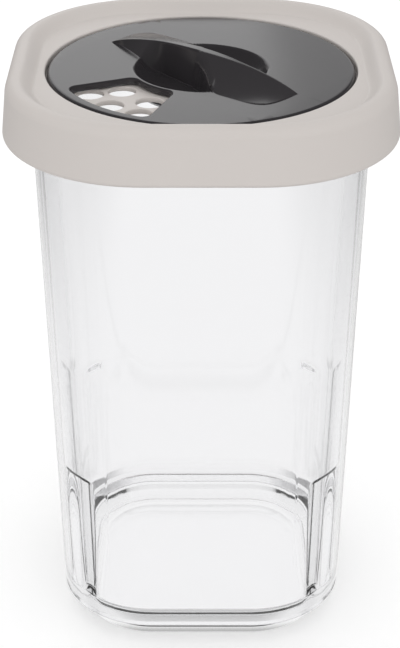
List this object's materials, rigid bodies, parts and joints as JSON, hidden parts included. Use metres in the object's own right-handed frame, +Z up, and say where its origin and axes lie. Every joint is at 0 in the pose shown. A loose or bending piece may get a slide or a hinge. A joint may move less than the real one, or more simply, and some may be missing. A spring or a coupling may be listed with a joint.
{
  "type": "spice shaker",
  "caption": "Clear tapered square jar with a push-on lid, sieve deck and a turning dial with grip fin and window that opens the coarse sieve, fine sieve or pouring hole.",
  "frame": {"origin": "on the table under the middle of the jar's foot", "axes": "+Z up along the jar and the dial's axis, -Y to the front, +X to the right seen from the front"},
  "size_m": [0.08, 0.08, 0.1278],
  "materials": {
    "clear_plastic": "clear, polished",
    "lid_plastic": "fine satin",
    "dial_plastic": "glossy"
  },
  "bodies": {
    "jar": {"jar": "clear_plastic"},
    "lid": {"lid": "lid_plastic"},
    "dial": {"dial": "dial_plastic"}
  },
  "joints": [
    {"name": "lid_lift", "type": "slide", "parent": "jar", "child": "lid", "axis": [0, 0, 1], "range_m": [0, 0.04]},
    {"name": "dial_turn", "type": "hinge", "parent": "lid", "child": "dial", "pos_m": [0, 0, 0.12], "axis": [0, 0, 1], "continuous": true}
  ]
}
